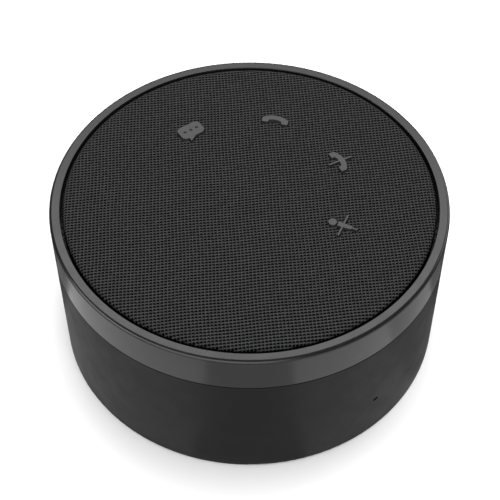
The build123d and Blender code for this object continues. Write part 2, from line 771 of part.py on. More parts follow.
def speaker_chamber():
    """Closed cup behind the loudspeaker."""
    wall = CHAMBER_OUTER - CHAMBER_INNER
    body = tube(0, CHAMBER_OUTER, CHAMBER_BOTTOM, CHAMBER_TOP)
    body = round_edge(body, CHAMBER_OUTER, CHAMBER_BOTTOM, wall)
    return body - tube(0, CHAMBER_INNER, CHAMBER_BOTTOM + wall, CHAMBER_TOP)


def chamber_gasket():
    """Foam seal between the chamber and the baffle plate."""
    return tube(CHAMBER_INNER, CHAMBER_OUTER, CHAMBER_TOP, PLATE_BOTTOM)


# ---- side pieces --------------------------------------------------------------------------
def usb_c_socket():
    """Charging socket: hollow shell with its tongue."""
    near = 51.9
    far = 59.2
    back_wall = 0.8
    shell = 0.3
    tongue_half = 0.35
    tongue_half_width = 3.35
    outline = Plane.YZ * SlotOverall(USB_WIDTH, USB_THICKNESS)
    hollow = Plane.YZ * SlotOverall(USB_WIDTH - 2 * shell, USB_THICKNESS - 2 * shell)
    body = extrude(Pos(near, 0, USB_HEIGHT) * outline, far - near, dir=(1, 0, 0))
    body -= extrude(Pos(near + back_wall, 0, USB_HEIGHT) * hollow, far - near, dir=(1, 0, 0))
    tongue_x = (near + back_wall - shell, far - 1.0)
    tongue_y = (-tongue_half_width, tongue_half_width)
    tongue_z = (USB_HEIGHT - tongue_half, USB_HEIGHT + tongue_half)
    body += block(tongue_x, tongue_y, tongue_z)
    return spin(body, USB_ANGLE)


def power_key():
    """Round key in the side wall, held by its inner flange."""
    flange_radius = 4.0
    flange_far = 57.0
    face = BODY_RADIUS - 0.1
    body = side_rod(POWER_CAP_RADIUS, flange_far, face, POWER_HEIGHT)
    rim = body.edges().filter_by(GeomType.CIRCLE).sort_by(Axis.X)[-1]
    body = fillet(rim, 0.4)
    body += side_rod(flange_radius, PLUNGER_FAR, flange_far, POWER_HEIGHT)
    return spin(body, POWER_ANGLE)


def power_plunger():
    """Plunger of the side switch."""
    body = side_rod(SIDE_PLUNGER_RADIUS, PLUNGER_NEAR, PLUNGER_FAR, POWER_HEIGHT)
    return spin(body, POWER_ANGLE)


def power_switch():
    """Side-push switch on the main board."""
    near = 48.5
    far = 52.5
    side = 6.0
    bore = SIDE_PLUNGER_RADIUS + 0.15
    body = block((near, far), (-side / 2, side / 2), (BOARD_TOP, BOARD_TOP + side))
    body -= side_rod(bore, PLUNGER_NEAR - 0.5, far, POWER_HEIGHT)
    return spin(body, POWER_ANGLE)


BOOT_NEAR = 53.2
BOOT_FAR = 57.65


def mic_boot(angle):
    """Rubber tunnel between a microphone and its hole in the wall."""
    outer = 3.5
    tunnel = 0.8
    body = side_rod(outer, BOOT_NEAR, BOOT_FAR, MIC_HEIGHT)
    body -= side_rod(tunnel, BOOT_NEAR, BOOT_FAR, MIC_HEIGHT)
    return spin(body, angle)


def mic_board(angle):
    """Small upright board that carries a microphone."""
    half = 4.5
    chip_half = (1.75, 1.3)
    back = BOOT_NEAR - 1
    body = block((back, BOOT_NEAR), (-half, half), (MIC_HEIGHT - half, MIC_HEIGHT + half))
    chip_z = (MIC_HEIGHT - chip_half[1], MIC_HEIGHT + chip_half[1])
    chip = block((back - 1, back), (-chip_half[0], chip_half[0]), chip_z)
    return spin(body + chip, angle)


def glide_ring():
    """Low-friction ring that the dial's toothed ring turns on."""
    inner = 55.8
    thickness = 0.5
    return tube(inner, SKIRT_OUTER, RIM_PLATE_TOP, RIM_PLATE_TOP + thickness)


PARTS = {
    "lower_housing": lower_housing(),
    "base_cover": base_cover(),
    "foot_ring": foot_ring(),
    "base_screws": screw_group(BOSS_CIRCLE, QUARTERS, BASE_HEAD_BOTTOM, BASE_HEAD_TOP, 15.0),
    "upper_chassis": upper_chassis(),
    "chassis_screws": screw_group(BOSS_CIRCLE, QUARTERS, PLATE_TOP, PLATE_TOP + 1.5, 32.0),
    "volume_dial": volume_dial(),
    "dial_gear_ring": dial_gear_ring(),
    "glide_ring": glide_ring(),
    "encoder_pinion": encoder_pinion(),
    "encoder_shaft": encoder_shaft(),
    "encoder_body": encoder_body(),
    "grille_frame": grille_frame(),
    "grille_screws": screw_group(POST_CIRCLE, POST_ANGLES, PLATE_BOTTOM - 1.4, PLATE_BOTTOM, 50.0),
    "fabric_cover": fabric_cover(),
    "button_board": button_board(),
    "tact_switches": tact_switches(),
    "button_flex": button_flex(),
    "driver_basket": driver_basket(),
    "driver_gasket": driver_gasket(),
    "driver_screws": screw_group(
        DRIVER_SCREW_CIRCLE,
        DRIVER_SCREW_ANGLES,
        BASKET_FLANGE_TOP,
        BASKET_FLANGE_TOP + 1.0,
        PLATE_BOTTOM + 0.5,
        1.7,
    ),
    "driver_top_plate": driver_top_plate(),
    "driver_magnet": driver_magnet(),
    "driver_yoke": driver_yoke(),
    "voice_coil": voice_coil(),
    "driver_spider": driver_spider(),
    "driver_cone": driver_cone(),
    "driver_surround": driver_surround(),
    "driver_dust_cap": driver_dust_cap(),
    "speaker_lead": speaker_lead(),
    "speaker_chamber": speaker_chamber(),
    "chamber_gasket": chamber_gasket(),
    "main_board": main_board(),
    "board_screws": screw_group(
        STANDOFF_CIRCLE,
        STANDOFF_ANGLES,
        BOARD_TOP,
        BOARD_TOP + 1.2,
        COVER_TOP + 0.5,
        2.0,
    ),
    "board_chips": board_chips(),
    "battery_pack": battery_pack(),
    "battery_tray": battery_tray(),
    "battery_lead": battery_lead(),
    "usb_c_socket": usb_c_socket(),
    "power_key": power_key(),
    "power_plunger": power_plunger(),
    "power_switch": power_switch(),
}
for key_name in KEYS:
    PARTS[key_name] = key(key_name)
    PARTS[key_name.replace("_key", "_plunger")] = plunger(key_name)
for number, mic_angle in enumerate(MIC_ANGLES, start=1):
    PARTS[f"mic_boot_{number}"] = mic_boot(mic_angle)
    PARTS[f"mic_board_{number}"] = mic_board(mic_angle)

os.makedirs("parts", exist_ok=True)
for part_name, shape in PARTS.items():
    export_step(shape, f"parts/{part_name}.step")
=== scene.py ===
import json
import math

import bmesh
import bpy
import numpy as np
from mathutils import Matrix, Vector


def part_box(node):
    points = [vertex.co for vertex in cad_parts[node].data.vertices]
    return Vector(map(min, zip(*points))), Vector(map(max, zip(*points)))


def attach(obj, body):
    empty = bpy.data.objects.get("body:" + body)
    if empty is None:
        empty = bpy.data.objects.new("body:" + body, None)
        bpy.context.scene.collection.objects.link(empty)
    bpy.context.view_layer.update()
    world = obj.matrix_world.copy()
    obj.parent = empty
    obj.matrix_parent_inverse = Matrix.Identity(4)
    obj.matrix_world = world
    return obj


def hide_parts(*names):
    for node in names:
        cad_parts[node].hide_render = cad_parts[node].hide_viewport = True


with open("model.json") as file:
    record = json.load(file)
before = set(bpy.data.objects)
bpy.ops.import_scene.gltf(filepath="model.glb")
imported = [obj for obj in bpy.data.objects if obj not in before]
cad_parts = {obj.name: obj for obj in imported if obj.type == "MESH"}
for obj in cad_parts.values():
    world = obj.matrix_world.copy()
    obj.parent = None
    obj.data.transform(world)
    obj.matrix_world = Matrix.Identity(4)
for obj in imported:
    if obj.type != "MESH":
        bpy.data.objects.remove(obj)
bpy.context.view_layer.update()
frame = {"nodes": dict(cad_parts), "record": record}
NODES = frame["nodes"]

MM = 0.001

# ---- camera, floor and light ---------------------------------------------------------------
CAMERA_PLACE = (0.00015, -0.25965, 0.34653)
CAMERA_PITCH = 50.63
CAMERA_LENS = 93.6
CAMERA_SENSOR = 36.0
CAMERA_CLIP = 0.01
FLOOR_HALF = 3.0
WORLD_LEVEL = 0.05
# name: (place, (width, height), watts, what it lights: "all", "matt" or "shiny" surfaces)
SOFTBOXES = {
    "back_box": ((0.0, 1.10, 0.89), (1.5, 0.55), 4.1, "shiny"),
    "high_box": ((0.0, 0.79, 1.18), (1.5, 0.3), 4.8, "shiny"),
    "front_box": ((-0.35, -1.18, 0.68), (1.6, 1.25), 14.0, "shiny"),
    "left_box": ((-1.2, -0.35, 0.6), (1.0, 0.8), 9.0, "shiny"),
    "right_box": ((1.0, 0.75, 0.4), (1.0, 0.7), 4.0, "shiny"),
    "top_fill": ((0.05, 0.3, 1.5), (1.3, 1.3), 42.0, "matt"),
    "front_fill": ((0.2, -1.1, 1.0), (1.0, 1.0), 15.0, "matt"),
}
SOFTBOX_TARGET = (0.0, 0.0, 0.03)
FLOOR_LEVEL = 0.84
CARD_HEIGHT = 0.2 * MM
CARD_START = 0.061
CARD_STEPS = 24
# name: (angles from the front, turning right; reach; brightness)
REFLECTORS = {
    "front_card": ((-17, 17), 0.4, 0.51),
    "right_front_card": ((17, 60), 0.4, 0.9),
    "right_side_card": ((60, 88), 0.4, 0.56),
    "right_rear_card": ((88, 100), 1.8, 0.2),
    "left_card": ((-88, -17), 0.4, 0.88),
    "left_rear_card": ((-102, -88), 1.8, 0.24),
    "back_card": ((100, 258), 1.8, 0.09),
}


def make_camera():
    """Camera in front of the speaker, looking down at it."""
    data = bpy.data.cameras.new("camera")
    data.lens = CAMERA_LENS
    data.sensor_width = CAMERA_SENSOR
    data.clip_start = CAMERA_CLIP
    camera = bpy.data.objects.new("camera", data)
    camera.location = CAMERA_PLACE
    camera.rotation_euler = (math.radians(90 - CAMERA_PITCH), 0, 0)
    bpy.context.scene.collection.objects.link(camera)
    bpy.context.scene.camera = camera


def aim(thing, target):
    """Turn a light so that it shines at a point."""
    direction = Vector(target) - thing.location
    thing.rotation_euler = direction.to_track_quat("-Z", "Y").to_euler()


def softbox(name, place, size, watts, lights_up):
    """Large rectangular studio light for all surfaces, for matt ones or for shiny ones."""
    data = bpy.data.lights.new(name, "AREA")
    data.shape = "RECTANGLE"
    data.size, data.size_y = size
    data.energy = watts
    light = bpy.data.objects.new(name, data)
    light.location = place
    light.visible_glossy = lights_up != "matt"
    light.visible_diffuse = lights_up != "shiny"
    bpy.context.scene.collection.objects.link(light)
    aim(light, SOFTBOX_TARGET)


def make_world(shade):
    """Even grey surroundings."""
    world = bpy.data.worlds.new("studio")
    world.use_nodes = True
    background = world.node_tree.nodes["Background"]
    background.inputs["Color"].default_value = (shade, shade, shade, 1.0)
    background.inputs["Strength"].default_value = 1.0
    bpy.context.scene.world = world


def reflector(name, angles, far, level):
    """Flat card on the floor, seen only in reflections: a sector about the speaker's axis."""
    start, stop = (math.radians(angle) for angle in angles)
    turns = [start + (stop - start) * step / CARD_STEPS for step in range(CARD_STEPS + 1)]
    points = [
        (reach * math.sin(turn), -reach * math.cos(turn), CARD_HEIGHT)
        for reach in (CARD_START, far)
        for turn in turns
    ]
    row = CARD_STEPS + 1
    faces = [(i, i + 1, i + row + 1, i + row) for i in range(CARD_STEPS)]
    card = new_object(name, points, faces)
    shine = Shader(name, grey(0.0), 1.0, 0.0)
    shine.set(shine.shader, "Emission Color", (1.0, 1.0, 1.0, 1.0))
    shine.set(shine.shader, "Emission Strength", level)
    card.data.materials.append(shine.material)
    card.visible_camera = False
    card.visible_diffuse = False
    card.visible_shadow = False
    card.visible_transmission = False


def make_studio():
    """Surroundings, softboxes, floor and cards."""
    scene = bpy.context.scene
    scene.view_settings.view_transform = "Standard"
    make_world(WORLD_LEVEL)
    for name, (place, size, watts, lights_up) in SOFTBOXES.items():
        softbox(name, place, size, watts, lights_up)
    floor = new_object("floor", *flat_square(FLOOR_HALF))
    floor.data.materials.append(floor_material())
    for name, (angles, far, level) in REFLECTORS.items():
        reflector(name, angles, far, level)


# ---- mesh helpers --------------------------------------------------------------------------
def new_object(name, points, faces):
    """Mesh object from points and faces, linked to the scene."""
    mesh = bpy.data.meshes.new(name)
    mesh.from_pydata([tuple(map(float, p)) for p in points], [], faces)
    mesh.update()
    thing = bpy.data.objects.new(name, mesh)
    bpy.context.scene.collection.objects.link(thing)
    return thing


def flat_square(half):
    """Points and the face of a flat square on the ground."""
    points = [(-half, -half, 0), (half, -half, 0), (half, half, 0), (-half, half, 0)]
    return points, [(0, 1, 2, 3)]


def shade_smooth(thing):
    """Smooth shading on every face."""
    flags = np.ones(len(thing.data.polygons), bool)
    thing.data.polygons.foreach_set("use_smooth", flags)


# ---- material helpers ----------------------------------------------------------------------
class Shader:
    """A material with one Principled shader and short calls that add and join nodes."""

    def __init__(self, name, colour, roughness, specular=0.5, **uniform):
        self.material = bpy.data.materials.new(name)
        self.material.use_nodes = True
        self.tree = self.material.node_tree
        self.shader = self.tree.nodes["Principled BSDF"]
        self.set(self.shader, "Base Color", (*colour, 1.0))
        self.set(self.shader, "Roughness", roughness)
        self.set(self.shader, "Specular IOR Level", specular)
        for socket, value in uniform.items():
            self.set(self.shader, socket.replace("_", " ").title(), value)

    def set(self, node, socket, value):
        """Set an input that nothing is joined to."""
        node.inputs[socket].default_value = value

    def link(self, source, target):
        """Join an output to an input."""
        self.tree.links.new(source, target)

    def add(self, kind, **settings):
        """New node with its settings."""
        node = self.tree.nodes.new(kind)
        for name, value in settings.items():
            setattr(node, name, value)
        return node

    def math(self, operation, first, second=0.0):
        """Maths on two numbers or outputs."""
        node = self.add("ShaderNodeMath", operation=operation)
        for socket, value in zip(node.inputs, (first, second)):
            if isinstance(value, (int, float)):
                socket.default_value = value
            else:
                self.link(value, socket)
        return node.outputs[0]

    def place(self, stretch=(1.0, 1.0, 1.0)):
        """The surface's place in metres, stretched along each axis."""
        coordinates = self.add("ShaderNodeTexCoord")
        mapping = self.add("ShaderNodeMapping")
        self.set(mapping, "Scale", stretch)
        self.link(coordinates.outputs["Object"], mapping.inputs["Vector"])
        return mapping.outputs["Vector"]

    def noise(self, size, detail=2.0, vector=None):
        """Noise whose grains are about size metres."""
        node = self.add("ShaderNodeTexNoise")
        self.set(node, "Scale", 1.0 / size)
        self.set(node, "Detail", detail)
        self.link(self.place() if vector is None else vector, node.inputs["Vector"])
        return node.outputs["Fac"]

    def spread(self, value, low, high, in_low=0.3, in_high=0.7):
        """Map a value to a range."""
        node = self.add("ShaderNodeMapRange")
        for name, number in (("From Min", in_low), ("From Max", in_high)):
            self.set(node, name, number)
        self.set(node, "To Min", low)
        self.set(node, "To Max", high)
        self.link(value, node.inputs["Value"])
        return node.outputs["Result"]

    def ramp(self, value, stops):
        """Colour ramp from (position, colour) pairs."""
        node = self.add("ShaderNodeValToRGB")
        elements = node.color_ramp.elements
        while len(elements) < len(stops):
            elements.new(0.5)
        for element, (position, colour) in zip(elements, stops):
            element.position = position
            element.color = (*colour, 1.0)
        self.link(value, node.inputs["Fac"])
        return node.outputs["Color"]

    def bump(self, height, distance, strength=1.0, under=None):
        """Bump from a height that runs from 0 to 1 over distance metres."""
        node = self.add("ShaderNodeBump")
        self.set(node, "Strength", strength)
        self.set(node, "Distance", distance)
        self.link(height, node.inputs["Height"])
        if under is not None:
            self.link(under, node.inputs["Normal"])
        return node.outputs["Normal"]

    def finish(self, colour=None, roughness=None, normal=None):
        """Join what varies to the shader and return the material."""
        if colour is not None:
            self.link(colour, self.shader.inputs["Base Color"])
        if roughness is not None:
            self.link(roughness, self.shader.inputs["Roughness"])
        if normal is not None:
            self.link(normal, self.shader.inputs["Normal"])
        return self.material


def grey(level, tint=1.02):
    """Neutral colour, very slightly cool."""
    return (level, level, level * tint)


def floor_material():
    """Pale matt floor with a very faint mottle."""
    s = Shader("pale_floor", grey(FLOOR_LEVEL, 1.0), 0.9, 0.1)
    darker = grey(FLOOR_LEVEL - 0.01, 1.0)
    lighter = grey(FLOOR_LEVEL + 0.01, 1.0)
    mottle = s.ramp(s.noise(0.4), [(0.3, darker), (0.7, lighter)])
    return s.finish(colour=mottle)


def moulded_plastic(name, level, roughness, specular, grain=0.00012, depth=0.000006):
    """Moulded plastic: spark-eroded grain, faint flow marks and uneven gloss."""
    s = Shader(name, grey(level), roughness, specular)
    flow = s.noise(0.02, 3.0)
    colour = s.ramp(flow, [(0.3, grey(level * 0.93)), (0.7, grey(level * 1.07))])
    gloss = s.spread(s.noise(0.006, 2.0), roughness - 0.03, roughness + 0.03)
    normal = s.bump(s.noise(grain, 3.0), depth)
    return s.finish(colour, gloss, normal)


def mottled(name, colour, roughness, specular, grain, contrast, depth, metallic=0.0):
    """Solid uneven at one grain size: colour, gloss and a bump of depth metres."""
    s = Shader(name, colour, roughness, specular, metallic=metallic)
    pattern = s.noise(grain, 4.0)
    darker = [level * (1 - contrast) for level in colour]
    lighter = [level * (1 + contrast) for level in colour]
    shade = s.ramp(pattern, [(0.3, darker), (0.7, lighter)])
    gloss = s.spread(s.noise(grain * 8), roughness - 0.05, roughness + 0.05)
    return s.finish(shade, gloss, s.bump(pattern, depth))


def lined(name, dark, light, roughness, stretch, depth, metallic=0.0):
    """Solid with fine lines: noise stretched by a factor along each axis."""
    s = Shader(name, light, roughness, 0.5, metallic=metallic)
    lines = s.noise(0.001, 3.0, s.place(stretch))
    shade = s.ramp(lines, [(0.35, dark), (0.65, light)])
    return s.finish(shade, None, s.bump(lines, depth))


def board_material():
    """Green solder mask over faint copper tracks."""
    s = Shader("board", (0.02, 0.12, 0.06), 0.35, 0.5)
    tracks = s.add("ShaderNodeTexBrick", offset=0.5)
    s.link(s.place(), tracks.inputs["Vector"])
    for socket, value in (("Scale", 260.0), ("Mortar Size", 0.012), ("Mortar Smooth", 0.2)):
        s.set(tracks, socket, value)
    s.set(tracks, "Color1", (0.015, 0.10, 0.045, 1.0))
    s.set(tracks, "Color2", (0.018, 0.115, 0.055, 1.0))
    s.set(tracks, "Mortar", (0.05, 0.22, 0.09, 1.0))
    normal = s.bump(tracks.outputs["Fac"], 0.00003, 0.7)
    return s.finish(tracks.outputs["Color"], None, normal)


def make_finishes():
    """One material for each material slot of the record."""
    return {
        "housing_plastic": moulded_plastic("housing_plastic", 0.006, 0.52, 0.165),
        "dial_plastic": moulded_plastic("dial_plastic", 0.009, 0.22, 0.5, 0.0001, 0.000003),
        "key_plastic": moulded_plastic("key_plastic", 0.03, 0.4, 0.4),
        "inner_plastic": moulded_plastic("inner_plastic", 0.02, 0.6, 0.4, 0.0002, 0.00001),
        "slick_plastic": moulded_plastic("slick_plastic", 0.02, 0.3, 0.5, 0.0003, 0.000004),
        "chips": mottled("chips", (0.02, 0.02, 0.02), 0.5, 0.5, 0.0003, 0.3, 0.000008),
        "soft_rubber": mottled("soft_rubber", (0.02,) * 3, 0.8, 0.3, 0.0002, 0.3, 0.00001),
        "foam": mottled("foam", (0.05, 0.05, 0.05), 0.95, 0.1, 0.0004, 0.5, 0.0002),
        "ferrite": mottled("ferrite", (0.06, 0.06, 0.065), 0.6, 0.4, 0.0002, 0.3, 0.00001),
        "cell_pouch": mottled(
            "cell_pouch", (0.6, 0.6, 0.62), 0.35, 0.5, 0.004, 0.05, 0.00006, metallic=0.8
        ),
        "screw_steel": lined(
            "screw_steel", (0.3, 0.3, 0.31), (0.5, 0.5, 0.5), 0.35, (9, 9, 1), 0.000005, 1.0
        ),
        "plated_steel": lined(
            "plated_steel", (0.5, 0.49, 0.47), (0.64, 0.63, 0.6), 0.28, (9, 1, 9), 0.000004, 1.0
        ),
        "coil": lined("coil", (0.3, 0.12, 0.04), (0.6, 0.3, 0.12), 0.3, (1, 1, 12), 0.00004, 0.9),
        "flex": lined("flex", (0.2, 0.07, 0.01), (0.38, 0.17, 0.03), 0.3, (9, 9, 1), 0.00001),
        "paper_cone": lined("paper_cone", (0.02,) * 3, (0.045,) * 3, 0.85, (3, 3, 1), 0.00005),
        "board": board_material(),
        "knit_fabric": knit_material(),
    }


# Painted shade by how far a place has sunk into a stitch's opening (also set at the cut edges and
# the hem): share of the yarn's brightness left there
PAINTED_SHADE_LEVELS = ((0.0, 1.0), (0.25, 0.7), (0.45, 0.25), (0.52, 0.01))


def knit_material():
    """Dark acoustic knit: filaments along the yarn, with painted shade darkening it towards each
    opening, at the cut edges and down the hem.
    """
    s = Shader("acoustic_knit", grey(0.05), 0.9, 0.05)
    weave = s.add("ShaderNodeAttribute", attribute_name="weave")
    parts = s.add("ShaderNodeSeparateXYZ")
    s.link(weave.outputs["Vector"], parts.inputs["Vector"])
    across, along, painted_shade = parts.outputs
    melange = s.noise(0.0009, 2.0)
    thread = s.ramp(melange, [(0.3, grey(0.032)), (0.7, grey(0.048))])
    # Painted shade: the yarn colour is darkened towards each opening, at the cut edges and down
    # the hem, in place of the shade in the pits
    depth = s.ramp(painted_shade, [(place, grey(level, 1.0)) for place, level in PAINTED_SHADE_LEVELS])
    shade = s.add("ShaderNodeMix", data_type="RGBA", blend_type="MULTIPLY")
    s.set(shade, "Factor", 1.0)
    s.link(thread, shade.inputs[6])
    s.link(depth, shade.inputs[7])
    lean = s.math("ADD", s.math("MULTIPLY", across, 5.0), s.math("MULTIPLY", along, 3.0))
    twist = s.math("SINE", s.math("MULTIPLY", lean, math.tau))
    ply = s.spread(twist, 0.0, 1.0, -1.0, 1.0)
    fluff = s.noise(0.00008, 4.0)
    normal = s.bump(ply, 0.00003, 0.6, s.bump(fluff, 0.00003, 0.8))
    return s.finish(shade.outputs[2], None, normal)


# ---- the knit ------------------------------------------------------------------------------
FABRIC_LOW, FABRIC_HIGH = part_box("fabric_cover")
FABRIC_RADIUS = FABRIC_HIGH.x
FABRIC_TOP = FABRIC_HIGH.z
EDGE_ROLL = 1.5 * MM
# Width over which painted shade darkens the cloth as it rolls over the rim into the gap
HEM_PAINTED_SHADE_WIDTH = 0.26 * MM
ROW_STEP = Vector((1.049, 0.139)) * MM
COURSE_STEP = Vector((-0.050, 1.069)) * MM
KNIT_REACH = FABRIC_RADIUS + 1.7 * MM
SPARE_CELLS = 8
STITCH_UNEVENNESS = 0.022
WAVE_LENGTHS = (31.0 * MM, 23.0 * MM)
WAVE_HEIGHT = 0.1 * MM

# One stitch cell: places in cell units, heights in millimetres, painted shade from 0 on the yarn
# to 1
CORNER = (-0.5, -0.5, 0.0, 0.0)
LOW_MIDDLE = (0.0, -0.5, 0.05, 0.0)
LEFT_MIDDLE = (-0.5, 0.0, -0.10, 0.1)
OPENING = (
    (0.0, -0.15, -0.06, 0.55),
    (0.36, -0.34, -0.14, 0.55),
    (0.33, 0.10, -0.14, 0.55),
    (0.0, 0.29, -0.15, 0.55),
    (-0.33, 0.10, -0.14, 0.55),
    (-0.36, -0.34, -0.14, 0.55),
)
OPENING_FLOOR = (0.0, 0.06, -0.50, 1.0)

# Cut edges and hem
GLYPH_GAP = 0.22 * MM
GLYPH_MARGIN = 1.5 * MM
CUT_HEIGHT = -0.05 * MM
# Painted shade on the cut edges round the icons, where the gap beside each icon is shaded
CUT_PAINTED_SHADE = 0.3
CUT_DROP = 0.6 * MM
HEM_RISE = 0.3 * MM
HEM_BAND = 1.0 * MM
CRUSHED = 0.01 * MM
KEY_NODES = ("chat_key", "answer_key", "hang_up_key", "mute_key")


def rolled(flat_points, heights):
    """Wrap flat cloth over the rim: outside the roll's start it turns down the side."""
    distance = np.hypot(flat_points[:, 0], flat_points[:, 1])
    turn = flat_points / np.maximum(distance, 1e-9)[:, None]
    start = FABRIC_RADIUS - EDGE_ROLL
    angle = np.clip((distance - start) / EDGE_ROLL, 0, math.pi / 2)
    drop = np.maximum(distance - start - EDGE_ROLL * math.pi / 2, 0)
    out = np.sin(angle)
    up = np.cos(angle)
    reach = np.minimum(distance, start) + (EDGE_ROLL + heights) * out
    z = FABRIC_TOP - EDGE_ROLL + (EDGE_ROLL + heights) * up - drop
    return np.column_stack([turn * reach[:, None], z])


def knit_cells():
    """Row and course numbers of every stitch inside the knit's reach."""
    count = int(KNIT_REACH / MM) + SPARE_CELLS
    rows, courses = np.meshgrid(np.arange(-count, count), np.arange(-count, count))
    rows, courses = rows.ravel(), courses.ravel()
    x = rows * ROW_STEP.x + courses * COURSE_STEP.x
    y = rows * ROW_STEP.y + courses * COURSE_STEP.y
    inside = np.hypot(x, y) < KNIT_REACH
    return rows[inside], courses[inside]


def knit_mesh():
    """Vertices in cloth units, their heights and painted shade, and the faces of the knit."""
    rows, courses = knit_cells()
    index = {}
    units = []

    def vertex(key, row, course, spec):
        if key not in index:
            index[key] = len(units)
            units.append((row + spec[0], course + spec[1], spec[2] * MM, spec[3]))
        return index[key]

    faces = []
    for row, course in zip(rows.tolist(), courses.tolist()):
        corner = [
            vertex(("c", row + i, course + j), row + i, course + j, CORNER)
            for i, j in ((0, 0), (1, 0), (1, 1), (0, 1))
        ]
        low, high = (
            vertex(("h", row, course + j), row, course + j, LOW_MIDDLE) for j in (0, 1)
        )
        left, right = (
            vertex(("v", row + i, course), row + i, course, LEFT_MIDDLE) for i in (0, 1)
        )
        rim = [vertex(("r", row, course, k), row, course, spec) for k, spec in enumerate(OPENING)]
        floor = vertex(("f", row, course), row, course, OPENING_FLOOR)
        faces += [
            (corner[0], low, rim[0], rim[5]),
            (low, corner[1], rim[1], rim[0]),
            (corner[1], right, rim[1]),
            (right, rim[2], rim[1]),
            (right, corner[2], rim[2]),
            (corner[2], high, rim[3], rim[2]),
            (high, corner[3], rim[4], rim[3]),
            (corner[3], left, rim[4]),
            (left, rim[5], rim[4]),
            (left, corner[0], rim[5]),
        ]
        faces += [(rim[k], rim[(k + 1) % 6], floor) for k in range(6)]
    return np.array(units), faces


def signed_area(loop):
    """Area inside a loop, positive where it runs anticlockwise."""
    x, y = loop[:, 0], loop[:, 1]
    return 0.5 * float(np.sum(x * np.roll(y, -1) - np.roll(x, -1) * y))


def glyph_loops(node):
    """Closed outlines of a raised icon, read from the top faces of its CAD key."""
    mesh = NODES[node].data
    top = max(v.co.z for v in mesh.vertices)
    edges = {}
    spot = {}
    for face in mesh.polygons:
        corners = [mesh.vertices[i].co for i in face.vertices]
        if min(c.z for c in corners) < top - 1e-6:
            continue
        keys = [(round(c.x * 1e7), round(c.y * 1e7)) for c in corners]
        spot.update(zip(keys, ((c.x, c.y) for c in corners)))
        for a, b in zip(keys, keys[1:] + keys[:1]):
            if (b, a) in edges:
                del edges[(b, a)]
            else:
                edges[(a, b)] = True
    follow = {a: b for a, b in edges}
    loops = []
    while follow:
        start, step = follow.popitem()
        loop = [spot[start]]
        while step != start:
            loop.append(spot[step])
            step = follow.pop(step)
        loops.append(np.array(loop))
    return [loop for loop in loops if signed_area(loop) > 0]


def outline_distance(points, loops):
    """Signed distance to the outlines, negative inside, and the nearest outline point."""
    best = np.full(len(points), np.inf)
    nearest = np.zeros_like(points)
    inside = np.zeros(len(points), bool)
    for loop in loops:
        crossings = np.zeros(len(points), int)
        for a, b in zip(loop, np.roll(loop, -1, axis=0)):
            side = b - a
            share = np.clip(((points - a) @ side) / max(side @ side, 1e-18), 0, 1)
            foot = a + share[:, None] * side
            gap = np.hypot(*(points - foot).T)
            closer = gap < best
            best[closer] = gap[closer]
            nearest[closer] = foot[closer]
            spans = (a[1] > points[:, 1]) != (b[1] > points[:, 1])
            rise = side[1] if abs(side[1]) > 1e-15 else 1e-15
            cut = a[0] + (points[:, 1] - a[1]) * side[0] / rise
            crossings += spans & (points[:, 0] < cut)
        inside |= crossings % 2 == 1
    return np.where(inside, -best, best), nearest


def cut_round_glyphs(points, faces):
    """Open the cloth round the icons: edge stitches are pulled to the outline."""
    gone = np.zeros(len(points), bool)
    moved = points.copy()
    for node in KEY_NODES:
        loops = glyph_loops(node)
        low = np.min([loop.min(0) for loop in loops], axis=0) - GLYPH_MARGIN
        high = np.max([loop.max(0) for loop in loops], axis=0) + GLYPH_MARGIN
        near = np.flatnonzero(((points > low) & (points < high)).all(axis=1))
        distance, foot = outline_distance(points[near], loops)
        inner = distance < GLYPH_GAP
        away = points[near] - foot
        away *= np.where(distance < 0, -1.0, 1.0)[:, None]
        away /= np.maximum(np.hypot(*away.T), 1e-9)[:, None]
        moved[near[inner]] = (foot + away * GLYPH_GAP)[inner]
        gone[near[inner]] = True
    kept = [f for f in faces if not all(gone[i] for i in f)]
    return moved, kept, gone


def make_fabric(material):
    """Knitted top: stitches laid flat, cut round the icons, then wrapped over the rim."""
    units, faces = knit_mesh()
    rng = np.random.default_rng(7)
    cloth = units[:, :2] + rng.normal(0, STITCH_UNEVENNESS, (len(units), 2))
    flat = np.outer(cloth[:, 0], ROW_STEP) + np.outer(cloth[:, 1], COURSE_STEP)
    waves = 2 * math.pi * flat[:, ::-1] / np.array(WAVE_LENGTHS)
    flat += WAVE_HEIGHT * np.sin(waves)
    reach = np.hypot(flat[:, 0], flat[:, 1])
    flat *= (np.minimum(reach, KNIT_REACH) / np.maximum(reach, 1e-9))[:, None]
    flat, faces, cut = cut_round_glyphs(flat, faces)
    heights = np.where(cut, CUT_HEIGHT, units[:, 2])
    points = rolled(flat, heights)
    fabric = new_object("fabric_top", points, faces)
    weave = fabric.data.attributes.new("weave", "FLOAT_VECTOR", "POINT")
    # Painted shade for each vertex: its stitch value, a fixed share at the cut edges, and full
    # darkness down the hem
    painted_shade = np.where(cut, CUT_PAINTED_SHADE, units[:, 3])
    # Painted shade: the cloth darkens to black as it turns down into the gap by the rim
    overhang = np.hypot(points[:, 0], points[:, 1]) - (FABRIC_RADIUS - HEM_PAINTED_SHADE_WIDTH)
    painted_shade = np.maximum(painted_shade, np.clip(overhang / HEM_PAINTED_SHADE_WIDTH, 0, 1))
    weave.data.foreach_set("vector", np.column_stack([units[:, :2], painted_shade]).ravel())
    tidy_cloth(fabric)
    shade_smooth(fabric)
    fabric.data.materials.append(material)
    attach(fabric, "base")
    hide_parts("fabric_cover")


def extruded(work, edges):
    """Extrude edges and return the new vertices."""
    made = bmesh.ops.extrude_edge_only(work, edges=edges)["geom"]
    return [item for item in made if isinstance(item, bmesh.types.BMVert)]


